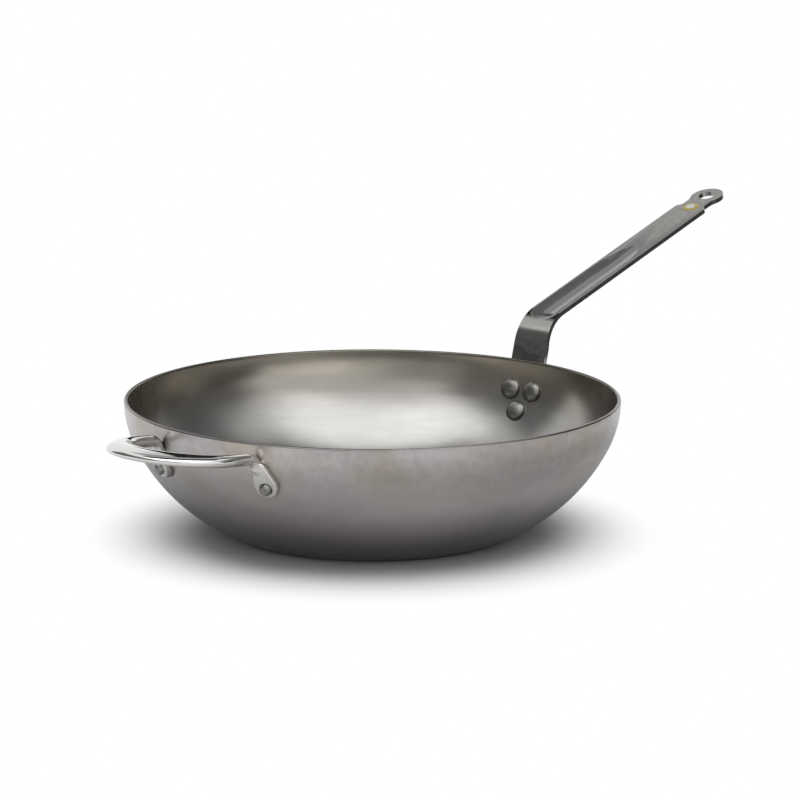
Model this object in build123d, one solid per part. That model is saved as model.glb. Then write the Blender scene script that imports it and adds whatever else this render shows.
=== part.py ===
from build123d import *
import os
from math import acos, asin, atan2, cos, degrees, hypot, radians, sin, sqrt, tan

# Carbon steel wok with a long strap handle and a cast helper handle.
# Millimetres. The origin is the middle of the flat base, where it stands on the hob. +Z is up,
# the long handle points along +X and the helper handle along -X.

# Bowl
rim_diameter = 320.0
bowl_height = 87.0
base_diameter = 180.0
sheet_thickness = 2.5
knuckle_radius = 5.0        # bend between the flat base and the wall
wall_radius = 122.0         # large curve of the wall
flare_radius = 66.0         # tighter curve that ends upright at the rim
rim_round = 1.1             # rounding of each edge of the rim

# Clearances
seat_gap = 0.1              # between two pieces that are clamped together
hole_clearance = 0.15       # round a shank in its hole, on the radius
badge_clearance = 0.1       # round the button in its recess, on the radius
overrun = 5.0               # how far a cut runs past the face that it starts from

# Long handle: a steel strap, bent once, dished lengthways and pierced at the end
strap_root_width = 27.8     # at the foot
strap_width = 25.0          # along the long part
strap_thickness = 3.0
strap_lean = 11.0           # degrees that its upright part leans outwards
strap_slope = 17.4          # degrees that its long part rises
elbow_rise = 27.0           # above the rim, where the two straight parts would meet
bend_radius = 27.0          # upper face of the bend
shoulder_distance = 187.8   # from the elbow along the long part
shoulder_round = 3.8
neck_width = 18.3
neck_round = 12.0
eye_distance = 206.6        # from the elbow to the middle of the hanging hole
eye_diameter = 23.4
hanging_hole_diameter = 11.6

# Dish pressed into the strap
dish_width = 21.8
dish_depth = 2.4
dish_turn = 8.0             # degrees that it reaches down round the bend
dish_full_length = 58.0     # from the end of the bend
dish_fade_length = 48.0     # run-out towards the flat end

# Foot of the long handle, pressed to the curve of the wall
foot_lobe_radius = 7.4      # steel round each upper rivet
foot_tip_radius = 8.6       # steel round the lower rivet
foot_waist_round = 12.0
foot_clearance = 0.5        # above the rim: so far up the foot follows the round wall
blend_height = 7.5          # over which the strap then turns flat

# Button in the strap
badge_diameter = 12.0
badge_distance = 186.7      # from the elbow
badge_recess_depth = 1.2
badge_proud = 0.7
badge_edge_height = 0.35    # upright edge that stands out of the recess

# Rivets of the long handle
handle_shank_diameter = 8.0
handle_head_diameter = 14.0
handle_head_height = 3.2
handle_stub_height = 2.0    # how far the shank stands out past the foot
upper_rivet_drop = 20.8     # below the rim
upper_rivet_spacing = 18.5
lower_rivet_drop = 34.3
stub_chamfer = 0.9
head_flat_share = 0.35      # flat crown of a head, as a share of its diameter
head_rim_share = 0.18       # upright edge of a head, as a share of its height
head_shoulder_share = 0.13  # fall of the dome halfway out, as a share of its whole fall

# Helper handle: a cast loop on two feet
loop_half_span = 41.0       # from the middle to a leg, on the centre line
loop_length = 53.0          # from the rim to the centre line of the grip
loop_corner_radius = 37.0
loop_crown_radius = 46.0
grip_width = 19.5
grip_thickness = 7.4
grip_drop = 2.9             # below the rim, centre line at the middle of the grip
leg_width = 6.6
leg_thickness = 7.6
leg_drop = 8.4              # below the rim, centre line where a leg leaves the wall
leg_bend_radius = 8.0
leg_root_drop = 21.0        # below the rim, where a leg grows out of its foot
leg_root_thickness = 6.4
pad_thickness = 4.4
pad_radius = 7.8
pad_neck_radius = 4.6
pad_neck_drop = 16.0
pad_neck_shift = 2.6        # the neck of a foot leans towards the middle of the loop
pad_round = 1.0
helper_rivet_drop = 26.8
helper_rivet_spacing = 87.0
helper_shank_diameter = 7.6
helper_head_diameter = 14.0
helper_head_height = 3.2
helper_stub_height = 2.3
corner_shares = (0.0, 0.33, 0.67, 1.0)  # sections round a corner of the loop
leg_root_share = 0.88       # root of a leg, as a share of the neck that carries it

# Worked out from the sizes above
rim_radius = rim_diameter / 2
base_radius = base_diameter / 2
upper_rivet_height = bowl_height - upper_rivet_drop
lower_rivet_height = bowl_height - lower_rivet_drop
helper_rivet_height = bowl_height - helper_rivet_drop
leg_height = bowl_height - leg_drop
grip_height = bowl_height - grip_drop
lean = radians(strap_lean)
slope = radians(strap_slope)


# Meridian of the bowl: three arcs that run into each other
def arc_point(centre, radius, angle):
    """Point of an arc at an angle from straight down, in radians."""
    return (centre[0] + radius * sin(angle), centre[1] - radius * cos(angle))


def wall_centre():
    """Centre of the wall's arc, which touches the knuckle's arc and the flare's arc."""
    from_knuckle = wall_radius - knuckle_radius
    from_flare = wall_radius - flare_radius
    dx = flare_centre[0] - knuckle_centre[0]
    dz = flare_centre[1] - knuckle_centre[1]
    gap = hypot(dx, dz)
    along = (from_knuckle**2 - from_flare**2 + gap**2) / (2 * gap)
    across = sqrt(from_knuckle**2 - along**2)
    return (
        knuckle_centre[0] + (dx * along - dz * across) / gap,
        knuckle_centre[1] + (dz * along + dx * across) / gap,
    )


knuckle_centre = (base_radius, knuckle_radius)
flare_centre = (rim_radius - flare_radius, bowl_height)
main_centre = wall_centre()
knuckle_end = atan2(knuckle_centre[0] - main_centre[0], main_centre[1] - knuckle_centre[1])
flare_start = atan2(flare_centre[0] - main_centre[0], main_centre[1] - flare_centre[1])
flare_start_height = arc_point(flare_centre, flare_radius, flare_start)[1]
upright = radians(90)


def arc(centre, radius, start, end):
    """Arc of the meridian between two angles."""
    middle = (start + end) / 2
    return ThreePointArc(
        arc_point(centre, radius, start),
        arc_point(centre, radius, middle),
        arc_point(centre, radius, end),
    )


def wall_arcs(offset, low, high):
    """Arcs of the wall between two angles, a distance outside the bowl's outer face."""
    if high <= flare_start:
        return [arc(main_centre, wall_radius + offset, low, high)]
    if low >= flare_start:
        return [arc(flare_centre, flare_radius + offset, low, high)]
    return [
        arc(main_centre, wall_radius + offset, low, flare_start),
        arc(flare_centre, flare_radius + offset, flare_start, high),
    ]


def wall_angle(height):
    """Angle of the wall, from lying flat, where its outer face is at a height."""
    if height > flare_start_height:
        return acos((bowl_height - height) / flare_radius)
    return acos((main_centre[1] - height) / wall_radius)


def wall_point(angle, offset=0.0):
    """Point of the wall's outer face, moved outwards, at an angle from lying flat."""
    if angle > flare_start:
        return arc_point(flare_centre, flare_radius + offset, angle)
    return arc_point(main_centre, wall_radius + offset, angle)


def bowl_section(offset, extra_height=0.0):
    """Half section of a bowl filled to the rim, whose face lies outside the real one."""
    base_edge = (base_radius, -offset)
    rim_edge = (rim_radius + offset, bowl_height)
    top = bowl_height + extra_height
    lines = [
        Line((0, -offset), base_edge),
        arc(knuckle_centre, knuckle_radius + offset, 0, knuckle_end),
        *wall_arcs(offset, knuckle_end, upright),
    ]
    if extra_height > 0:
        lines.append(Line(rim_edge, (rim_edge[0], top)))
    lines.append(Line((rim_edge[0], top), (0, top)))
    lines.append(Line((0, top), (0, -offset)))
    return make_face(lines)


def wall_plane(height, azimuth):
    """Plane on the wall's outer face, facing outwards; azimuth in degrees from +X."""
    angle = wall_angle(height)
    radius, z = wall_point(angle)
    turn = radians(azimuth)
    outward = Vector(sin(angle) * cos(turn), sin(angle) * sin(turn), -cos(angle))
    along_rim = Vector(-sin(turn), cos(turn), 0)
    return Plane((radius * cos(turn), radius * sin(turn), z), x_dir=along_rim, z_dir=outward)


# Rivets: flat-seated domed head inside the bowl, shank through the wall, chamfered stub outside
def rivet_places():
    """Planes of the three rivets of the long handle."""
    radius = wall_point(wall_angle(upper_rivet_height))[0]
    side_angle = degrees(asin(upper_rivet_spacing / 2 / radius))
    return [
        wall_plane(upper_rivet_height, side_angle),
        wall_plane(upper_rivet_height, -side_angle),
        wall_plane(lower_rivet_height, 0),
    ]


def helper_places():
    """Planes of the two rivets of the helper handle."""
    return [wall_plane(helper_rivet_height, 180 + side * helper_rivet_angle()) for side in (-1, 1)]


def helper_rivet_angle():
    """Degrees from the middle of the helper handle to one of its rivets, round the bowl."""
    radius = wall_point(wall_angle(helper_rivet_height))[0]
    return degrees(asin(helper_rivet_spacing / 2 / radius))


def rivet(place, shank_diameter, head_diameter, head_height, stub_end):
    """One rivet: stub_end is how far its shank reaches from the wall's outer face."""
    shank_radius = shank_diameter / 2
    head_radius = head_diameter / 2
    crown_radius = head_radius * head_flat_share
    hollow = head_radius**2 / (2 * (flare_radius - sheet_thickness))
    seat = -sheet_thickness - seat_gap - hollow
    crown = seat - head_height
    edge = seat - head_height * head_rim_share
    shoulder_x = (head_radius + crown_radius) / 2
    shoulder_z = crown + (edge - crown) * head_shoulder_share
    profile = make_face([
        Line((0, crown), (crown_radius, crown)),
        ThreePointArc((crown_radius, crown), (shoulder_x, shoulder_z), (head_radius, edge)),
        Line((head_radius, edge), (head_radius, seat)),
        Line((head_radius, seat), (0, seat)),
        Line((0, seat), (0, crown)),
    ])
    head = place * revolve(Plane.XZ * profile, Axis.Z)
    shank_length = stub_end - seat + head_height / 2
    shank = Cylinder(shank_radius, shank_length, align=(Align.CENTER, Align.CENTER, Align.MAX))
    shank = chamfer(shank.edges().group_by(Axis.Z)[-1], stub_chamfer)
    return head + place * Pos(0, 0, stub_end) * shank


def rivet_hole(place, shank_diameter):
    """Cutter for the hole of one rivet."""
    reach = sheet_thickness + strap_thickness + pad_thickness + overrun
    return place * Cylinder(shank_diameter / 2 + hole_clearance, 2 * reach)


# Bowl
def make_bowl():
    wall = bowl_section(0) - bowl_section(-sheet_thickness, overrun)
    wall = fillet(wall.vertices().group_by(Axis.Y)[-1], rim_round)
    bowl = revolve(Plane.XZ * wall, Axis.Z)
    for place in rivet_places():
        bowl -= rivet_hole(place, handle_shank_diameter)
    for place in helper_places():
        bowl -= rivet_hole(place, helper_shank_diameter)
    return bowl


# Long handle
leave_angle = upright - lean
leave_point = wall_point(leave_angle, seat_gap)
elbow_height = bowl_height + elbow_rise
elbow = (leave_point[0] + (elbow_height - leave_point[1]) * tan(lean), elbow_height)
long_plane = Plane((elbow[0], 0, elbow[1]), x_dir=(cos(slope), 0, sin(slope)),
                   z_dir=(-sin(slope), 0, cos(slope)))
turn_half = (upright - lean - slope) / 2
bend_length = bend_radius * tan(turn_half)
bend_centre = (
    elbow[0] + bend_length * cos(slope) + bend_radius * sin(slope),
    elbow[1] + bend_length * sin(slope) - bend_radius * cos(slope),
)
bend_start = 3 * upright - lean     # angles of the bend's arc, from straight down
bend_end = 2 * upright + slope
foot_top = bowl_height + foot_clearance
blend_top = foot_top + blend_height
dish_fade_start = bend_length + dish_full_length
dish_end = dish_fade_start + dish_fade_length


def upright_point(height, depth=0.0):
    """Point of the upright part, a depth below its inner face, at a height of that face."""
    x = leave_point[0] + (height - leave_point[1]) * tan(lean)
    return (x + depth * cos(lean), height - depth * sin(lean))


def strap_side(thickness, start_height, length):
    """Side view of the strap from a height on its upright part to a length past the elbow."""
    inner_radius = bend_radius - thickness
    far = (elbow[0] + length * cos(slope), elbow[1] + length * sin(slope))
    far_under = (far[0] + thickness * sin(slope), far[1] - thickness * cos(slope))
    start = upright_point(start_height)
    start_under = upright_point(start_height, thickness)
    return Plane.XZ * make_face([
        Line(start, arc_point(bend_centre, bend_radius, bend_start)),
        arc(bend_centre, bend_radius, bend_start, bend_end),
        Line(arc_point(bend_centre, bend_radius, bend_end), far),
        Line(far, far_under),
        Line(far_under, arc_point(bend_centre, inner_radius, bend_end)),
        arc(bend_centre, inner_radius, bend_end, bend_start),
        Line(arc_point(bend_centre, inner_radius, bend_start), start_under),
        Line(start_under, start),
    ])


def strap_front():
    """Front view of the strap, which narrows from its foot to the end of the bend."""
    narrow_height = arc_point(bend_centre, bend_radius - strap_thickness, bend_end)[1]
    top = elbow_height + dish_end
    half = make_face(Polyline(
        (0, 0),
        (strap_root_width / 2, 0),
        (strap_root_width / 2, blend_top),
        (strap_width / 2, narrow_height),
        (strap_width / 2, top),
        (0, top),
        (0, 0),
    ))
    return Plane.YZ * (half + mirror(half, Plane.YZ))


def strap_outline():
    """Plan of the flat end, from the end of the dish to the tip of the eye."""
    half_width = strap_width / 2
    half_neck = neck_width / 2
    eye_radius = eye_diameter / 2
    drop = (half_width - half_neck) / 2
    shoulder_turn = acos(1 - drop / shoulder_round)
    shoulder_reach = shoulder_round * sin(shoulder_turn)
    from_eye = eye_radius + neck_round
    neck_turn = acos((half_neck + neck_round) / from_eye)
    neck_end = eye_distance - from_eye * sin(neck_turn)
    body_end = shoulder_distance - shoulder_reach
    neck_start = shoulder_distance + shoulder_reach
    half = make_face([
        Line((dish_end, 0), (dish_end, half_width)),
        Line((dish_end, half_width), (body_end, half_width)),
        arc((body_end, half_width - shoulder_round), shoulder_round, 2 * upright,
            2 * upright - shoulder_turn),
        arc((neck_start, half_neck + shoulder_round), shoulder_round, -shoulder_turn, 0),
        Line((neck_start, half_neck), (neck_end, half_neck)),
        arc((neck_end, half_neck + neck_round), neck_round, 0, neck_turn),
        arc((eye_distance, 0), eye_radius, 2 * upright + neck_turn, upright),
        Line((eye_distance + eye_radius, 0), (dish_end, 0)),
    ])
    return half + mirror(half, Plane.XZ)


def dish_tool(extra):
    """Round tool that presses the dish: a ball end in the bend, a straight part, a slow run-out."""
    radius = ((dish_width / 2) ** 2 + dish_depth**2) / (2 * dish_depth)
    size = radius + extra
    axis_height = radius - dish_depth
    fade_turn = 2 * atan2(dish_depth, dish_fade_length)
    fade_radius = dish_fade_length / sin(fade_turn)
    fade_centre = (dish_fade_start, fade_radius - radius)
    tool_end = arc_point(fade_centre, fade_radius + extra, 2 * fade_turn)
    shaft = make_face([
        Line((bend_length, 0), (bend_length, -size)),
        Line((bend_length, -size), (dish_fade_start, -size)),
        arc(fade_centre, fade_radius + extra, 0, 2 * fade_turn),
        Line(tool_end, (tool_end[0], 0)),
        Line((tool_end[0], 0), (bend_length, 0)),
    ])
    ball = make_face([
        Line((bend_length, 0), (bend_length, -size)),
        arc((bend_length, 0), size, 0, -upright),
        Line((bend_length - size, 0), (bend_length, 0)),
    ])
    lift = Pos(0, 0, axis_height)
    bend_axis = Axis((bend_length, 0, -bend_radius), (0, 1, 0))
    knee = revolve(Plane.YZ.offset(bend_length) * Pos(0, axis_height) * Circle(size),
                   bend_axis, -dish_turn)
    end = (lift * revolve(Plane.XZ * ball, Axis.X)).rotate(bend_axis, -dish_turn)
    return long_plane * (lift * revolve(Plane.XZ * shaft, Axis.X) + knee + end)


def foot_outline():
    """Front view of the foot: a rounded triangle round the rivets, and the strap above it."""
    upper = [Pos(side * upper_rivet_spacing / 2, upper_rivet_height) * Circle(foot_lobe_radius)
             for side in (-1, 1)]
    lower = Pos(0, lower_rivet_height) * Circle(foot_tip_radius)
    plate = make_hull([*upper[0].edges(), *upper[1].edges(), *lower.edges()])
    strap_height = bowl_height + overrun * 2 - upper_rivet_height
    strap = Pos(0, upper_rivet_height + strap_height / 2) * Rectangle(strap_root_width,
                                                                     strap_height)
    outline = plate + strap
    waist = [v for v in outline.vertices()
             if upper_rivet_height + seat_gap < v.Y < bowl_height
             and abs(abs(v.X) - strap_root_width / 2) < seat_gap]
    return fillet(waist, foot_waist_round)


def wall_plate(band, outline, turn):
    """Plate that follows the round wall: a band of it, cut to an outline seen along X."""
    ring = Rot(0, 0, -turn) * revolve(Plane.XZ * band, Axis.Z, revolution_arc=2 * turn)
    return ring & extrude(Plane.YZ * outline, rim_diameter)


def foot_band(low):
    """Section of the foot: along the wall, then straight up past the rim."""
    far = seat_gap + strap_thickness
    inner_top = upright_point(bowl_height + overrun)
    outer_top = upright_point(bowl_height + overrun, strap_thickness)
    return make_face([
        *wall_arcs(seat_gap, low, leave_angle),
        Line(leave_point, inner_top),
        Line(inner_top, outer_top),
        Line(outer_top, wall_point(leave_angle, far)),
        *wall_arcs(far, low, leave_angle),
        Line(wall_point(low, far), wall_point(low, seat_gap)),
    ])


def make_foot():
    """Foot of the strap, which ends square to its upright part just above the rim."""
    low = lower_rivet_height - foot_tip_radius * 2
    turn = degrees(asin(strap_root_width / rim_radius))
    foot = wall_plate(foot_band(wall_angle(low)), foot_outline(), turn)
    x, z = upright_point(foot_top)
    cut_plane = Plane((x, 0, z), x_dir=(0, 1, 0), z_dir=(sin(lean), 0, cos(lean)))
    return split(foot, cut_plane, keep=Keep.BOTTOM)


def make_long_handle():
    upright_axis = Axis((0, 0, 0), (sin(lean), 0, cos(lean)))
    foot = make_foot()
    half_root = strap_root_width / 2
    strap = extrude(strap_side(strap_thickness, blend_top, dish_end), half_root, both=True)
    strap &= extrude(strap_front(), elbow[0] + dish_end)
    blend = loft([
        foot.faces().sort_by(upright_axis)[-1],
        strap.faces().filter_by(upright_axis).sort_by(upright_axis)[0],
    ])
    strap += extrude(long_plane * strap_outline(), -strap_thickness)
    deep = strap_thickness + dish_depth + overrun
    pressed = extrude(strap_side(deep, elbow_height - bend_length, dish_end),
                      strap_width / 2, both=True)
    handle = foot + blend + strap + (pressed & dish_tool(strap_thickness))
    handle -= dish_tool(0)
    eye_place = long_plane * Pos(eye_distance, 0)
    handle -= eye_place * Cylinder(hanging_hole_diameter / 2, 2 * strap_thickness + overrun)
    recess_radius = badge_diameter / 2 + badge_clearance
    recess = Cylinder(recess_radius, badge_recess_depth + overrun,
                      align=(Align.CENTER, Align.CENTER, Align.MIN))
    handle -= long_plane * Pos(badge_distance, 0, -badge_recess_depth) * recess
    for place in rivet_places():
        handle -= rivet_hole(place, handle_shank_diameter)
    return handle


# Helper handle
pad_far = seat_gap + pad_thickness
loop_reach = rim_radius + loop_length


def beside_wall(height, depth):
    """Distance along X of a point in line with a leg, a depth outside the wall."""
    radius = wall_point(wall_angle(height))[0] + seat_gap + depth
    return sqrt(radius**2 - loop_half_span**2)


leg_start = beside_wall(leg_height - leg_bend_radius, leg_root_thickness / 2) + leg_bend_radius


def make_pad(side):
    """Foot of the helper handle on one side, a drop-shaped plate that follows the wall."""
    low = wall_angle(helper_rivet_height - pad_radius * 2)
    high = upright
    band = make_face([
        *wall_arcs(seat_gap, low, high),
        Line(wall_point(high, seat_gap), wall_point(high, pad_far)),
        *wall_arcs(pad_far, low, high),
        Line(wall_point(low, pad_far), wall_point(low, seat_gap)),
    ])
    bottom = Pos(0, helper_rivet_height) * Circle(pad_radius)
    neck = Pos(-side * pad_neck_shift, bowl_height - pad_neck_drop) * Circle(pad_neck_radius)
    outline = make_hull([*bottom.edges(), *neck.edges()])
    turn = degrees(asin(pad_radius * 2 / rim_radius))
    plate = wall_plate(band, outline, turn)
    outer_face = plate.faces().sort_by(Axis.X)[-1]
    plate = fillet(outer_face.edges(), pad_round)
    return Rot(0, 0, side * helper_rivet_angle()) * plate


def loop_stations():
    """Points, directions and growth of the grip along half of the loop, seen from above."""
    crown_centre = loop_reach - loop_crown_radius
    inset = loop_half_span - loop_corner_radius
    corner_centre = crown_centre + sqrt((loop_crown_radius - loop_corner_radius)**2 - inset**2)
    crown_turn = atan2(inset, corner_centre - crown_centre)
    corner_turn = upright - crown_turn
    leg_length = corner_centre - leg_start
    corner_length = loop_corner_radius * corner_turn
    stations = [(leg_start, loop_half_span, 0.0, 0.0)]
    for share in corner_shares:
        turn = corner_turn * share
        growth = (leg_length / 2 + corner_length * share) / (leg_length / 2 + corner_length)
        stations.append((
            corner_centre + loop_corner_radius * sin(turn),
            inset + loop_corner_radius * cos(turn),
            turn,
            growth**2 * (3 - 2 * growth),
        ))
    stations.append((loop_reach, 0.0, upright, 1.0))
    return stations


def leg_sections():
    """Oval sections from the plate of a foot, up the wall and over into the leg."""
    foot_height = bowl_height - leg_root_drop
    foot_x = beside_wall(foot_height, pad_thickness / 2)
    foot = Plane((foot_x, loop_half_span, foot_height), x_dir=(-loop_half_span, foot_x, 0),
                 z_dir=(0, 0, 1))
    half_width = pad_neck_radius * leg_root_share
    half_thickness = pad_thickness / 2 * leg_root_share
    sections = [foot * Ellipse(half_width, half_thickness)]
    for turn in (0.0, upright / 2):
        x = leg_start - leg_bend_radius * cos(turn)
        z = leg_height - leg_bend_radius + leg_bend_radius * sin(turn)
        plane = Plane((x, loop_half_span, z), x_dir=(0, 1, 0), z_dir=(sin(turn), 0, cos(turn)))
        thickness = leg_root_thickness + (leg_thickness - leg_root_thickness) * turn / upright
        sections.append(plane * Ellipse(leg_width / 2, thickness / 2))
    return sections


def grip_sections():
    """Oval sections along half of the loop, from a leg to the middle of the grip."""
    sections = []
    rise = (grip_height - leg_height) / (loop_reach - leg_start)
    for x, y, turn, growth in loop_stations():
        z = leg_height + rise * (x - leg_start)
        width = leg_width + (grip_width - leg_width) * growth
        thickness = leg_thickness + (grip_thickness - leg_thickness) * growth
        plane = Plane((x, y, z), x_dir=(sin(turn), cos(turn), 0), z_dir=(cos(turn), -sin(turn), 0))
        sections.append(plane * Ellipse(width / 2, thickness / 2))
    return sections


def make_helper_handle():
    grip = grip_sections()
    root, knee_start, knee_middle = leg_sections()
    stem = loft([root, knee_start])
    knee = loft([knee_start, knee_middle, grip[0]])
    middle = grip.pop()
    other = [mirror(section, Plane.XZ) for section in reversed(grip)]
    handle = loft([*grip, middle, *other])
    for leg_piece in (stem, knee):
        handle = handle + leg_piece + mirror(leg_piece, Plane.XZ)
    handle = handle + make_pad(1) + make_pad(-1)
    handle = Rot(0, 0, 180) * handle - revolve(Plane.XZ * bowl_section(seat_gap), Axis.Z)
    for place in helper_places():
        handle -= rivet_hole(place, helper_shank_diameter)
    return handle


# Small parts
def make_handle_rivets():
    reach = seat_gap + strap_thickness + handle_stub_height
    return Compound(children=[
        rivet(place, handle_shank_diameter, handle_head_diameter, handle_head_height, reach)
        for place in rivet_places()
    ])


def make_helper_rivets():
    reach = pad_far + helper_stub_height
    return Compound(children=[
        rivet(place, helper_shank_diameter, helper_head_diameter, helper_head_height, reach)
        for place in helper_places()
    ])


def make_badge():
    """Plain round button with a softly domed face, seated in its recess."""
    radius = badge_diameter / 2
    dome = badge_proud - badge_edge_height
    dome_radius = (radius**2 + dome**2) / (2 * dome)
    dome_centre = (0, badge_proud - dome_radius)
    profile = make_face([
        Line((0, -badge_recess_depth), (radius, -badge_recess_depth)),
        Line((radius, -badge_recess_depth), (radius, badge_edge_height)),
        arc(dome_centre, dome_radius, 2 * upright - asin(radius / dome_radius), 2 * upright),
        Line((0, badge_proud), (0, -badge_recess_depth)),
    ])
    return long_plane * Pos(badge_distance, 0, 0) * revolve(Plane.XZ * profile, Axis.Z)


os.makedirs("parts", exist_ok=True)
export_step(make_bowl(), "parts/wok_body.step")
export_step(make_long_handle(), "parts/long_handle.step")
export_step(make_handle_rivets(), "parts/handle_rivets.step")
export_step(make_badge(), "parts/badge_button.step")
export_step(make_helper_handle(), "parts/helper_handle.step")
export_step(make_helper_rivets(), "parts/helper_rivets.step")
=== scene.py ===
from math import asin, atan, atan2, cos, hypot, pi, radians, sin, sqrt

import bmesh
import bpy
from mathutils import Matrix, Vector


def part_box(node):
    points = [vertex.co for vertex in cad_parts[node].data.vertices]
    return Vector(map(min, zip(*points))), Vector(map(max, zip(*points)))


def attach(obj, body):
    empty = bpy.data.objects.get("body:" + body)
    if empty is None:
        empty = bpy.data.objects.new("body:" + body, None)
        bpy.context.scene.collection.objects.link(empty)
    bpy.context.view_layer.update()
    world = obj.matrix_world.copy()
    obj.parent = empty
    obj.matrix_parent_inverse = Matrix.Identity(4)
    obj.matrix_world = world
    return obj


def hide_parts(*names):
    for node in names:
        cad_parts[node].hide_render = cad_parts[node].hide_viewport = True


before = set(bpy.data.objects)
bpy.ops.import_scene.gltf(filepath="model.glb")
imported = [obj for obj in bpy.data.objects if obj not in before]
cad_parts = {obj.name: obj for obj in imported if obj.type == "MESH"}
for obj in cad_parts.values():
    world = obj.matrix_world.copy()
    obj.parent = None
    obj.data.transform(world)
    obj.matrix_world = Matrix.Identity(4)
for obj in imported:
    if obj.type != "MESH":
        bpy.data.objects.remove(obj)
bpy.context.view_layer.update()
scene = bpy.context.scene
mm = 0.001
plainWhite = (1, 1, 1, 1)
weldDistance = 0.001 * mm       # corners nearer than this are one

print("Frame loaded:", sorted(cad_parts))


def addObject(name, data):
    item = bpy.data.objects.new(name, data)
    scene.collection.objects.link(item)
    return item


# Camera, fitted to the photo: it looks over the helper handle, the long handle points away
cameraSettings = {
    "distance": 2.5,
    "elevation": 12.62,
    "handleAzimuth": 49.3,      # degrees between the long handle and the picture's right
    "aimHeight": 0.04345,
    "lens": 173.9,
    "sensor": 36.0,
    "clipEnd": 50.0,
    "aimColumn": 372.6,         # where the aim point falls in an 800 by 800 picture
    "aimRow": 462.1,
    "pictureSize": 800,
}


def makeCamera(s):
    turn = radians(s["handleAzimuth"])
    rise = radians(s["elevation"])
    back = Vector((-sin(turn), -cos(turn), 0))
    right = Vector((cos(turn), -sin(turn), 0))
    forward = -back * cos(rise) - Vector((0, 0, sin(rise)))
    up = right.cross(forward)
    place = back * s["distance"] * cos(rise) + Vector((0, 0, s["aimHeight"] + s["distance"] * sin(rise)))
    pixels = s["lens"] * s["pictureSize"] / s["sensor"]
    middle = s["pictureSize"] / 2
    pan = atan((s["aimColumn"] - middle) / pixels)
    tilt = atan((s["aimRow"] - middle) / pixels)
    panned = forward * cos(pan) - right * sin(pan)
    right = right * cos(pan) + forward * sin(pan)
    forward = panned * cos(tilt) + up * sin(tilt)
    up = up * cos(tilt) - panned * sin(tilt)
    data = bpy.data.cameras.new("photoCamera")
    data.lens = s["lens"]
    data.sensor_width = s["sensor"]
    data.clip_end = s["clipEnd"]
    camera = addObject("photoCamera", data)
    turned = Matrix((right, up, -forward)).transposed()
    camera.matrix_world = Matrix.Translation(place) @ turned.to_4x4()
    scene.camera = camera


makeCamera(cameraSettings)
print("Camera placed")


# Small helpers for node trees
def addNode(tree, kind, **settings):
    node = tree.nodes.new(kind)
    for name, value in settings.items():
        setattr(node, name, value)
    return node


def put(tree, socket, value):
    # value is another socket to link from, or a plain value
    if isinstance(value, bpy.types.NodeSocket):
        tree.links.new(value, socket)
    else:
        socket.default_value = value


def maths(tree, operation, *values):
    node = addNode(tree, "ShaderNodeMath", operation=operation)
    for socket, value in zip(node.inputs, values):
        put(tree, socket, value)
    return node.outputs[0]


def product(tree, *values):
    result = values[0]
    for value in values[1:]:
        result = maths(tree, "MULTIPLY", result, value)
    return result


def mixColours(tree, factor, first, second, blend="MIX"):
    node = addNode(tree, "ShaderNodeMix", data_type="RGBA", blend_type=blend)
    put(tree, node.inputs[0], factor)
    put(tree, node.inputs[6], first)
    put(tree, node.inputs[7], second)
    return node.outputs[2]


def mapRange(tree, value, low, high, newLow=0.0, newHigh=1.0, smooth=True):
    node = addNode(tree, "ShaderNodeMapRange")
    node.interpolation_type = "SMOOTHSTEP" if smooth else "LINEAR"
    for socket, number in zip(node.inputs, (value, low, high, newLow, newHigh)):
        put(tree, socket, number)
    return node.outputs[0]


def noise(tree, vector, scale, detail=2.0, roughness=0.5):
    node = addNode(tree, "ShaderNodeTexNoise")
    put(tree, node.inputs["Vector"], vector)
    put(tree, node.inputs["Scale"], scale)
    node.inputs["Detail"].default_value = detail
    node.inputs["Roughness"].default_value = roughness
    return node.outputs["Fac"]


def scaled(tree, vector, scale):
    node = addNode(tree, "ShaderNodeMapping")
    put(tree, node.inputs["Vector"], vector)
    node.inputs["Scale"].default_value = scale
    return node.outputs["Vector"]


def objectPlace(tree):
    return addNode(tree, "ShaderNodeTexCoord").outputs["Object"]


def distanceFrom(tree, place, centre):
    node = addNode(tree, "ShaderNodeVectorMath", operation="DISTANCE")
    put(tree, node.inputs[0], place)
    node.inputs[1].default_value = centre
    return node.outputs["Value"]


def splitVector(tree, vector):
    node = addNode(tree, "ShaderNodeSeparateXYZ")
    put(tree, node.inputs[0], vector)
    return node.outputs


def joinVector(tree, x, y, z):
    node = addNode(tree, "ShaderNodeCombineXYZ")
    for socket, value in zip(node.inputs, (x, y, z)):
        put(tree, socket, value)
    return node.outputs[0]


def greyColour(tree, value):
    node = addNode(tree, "ShaderNodeCombineColor")
    for socket in node.inputs[:3]:
        put(tree, socket, value)
    return node.outputs[0]


def newGroup(name, inputs, outputs):
    # a shader group from {input: default}, where Place is a vector and all else is a number
    group = bpy.data.node_groups.new(name, "ShaderNodeTree")
    for socketName, default in inputs.items():
        kind = "NodeSocketVector" if socketName == "Place" else "NodeSocketFloat"
        socket = group.interface.new_socket(socketName, in_out="INPUT", socket_type=kind)
        if kind == "NodeSocketFloat":
            socket.default_value = default
    for socketName in outputs:
        group.interface.new_socket(socketName, in_out="OUTPUT", socket_type="NodeSocketFloat")
    source = group.nodes.new("NodeGroupInput").outputs
    target = group.nodes.new("NodeGroupOutput").inputs
    return group, source, target


def useGroup(tree, group, **values):
    node = addNode(tree, "ShaderNodeGroup", node_tree=group)
    for name, value in values.items():
        put(tree, node.inputs[name], value)
    return node.outputs


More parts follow.
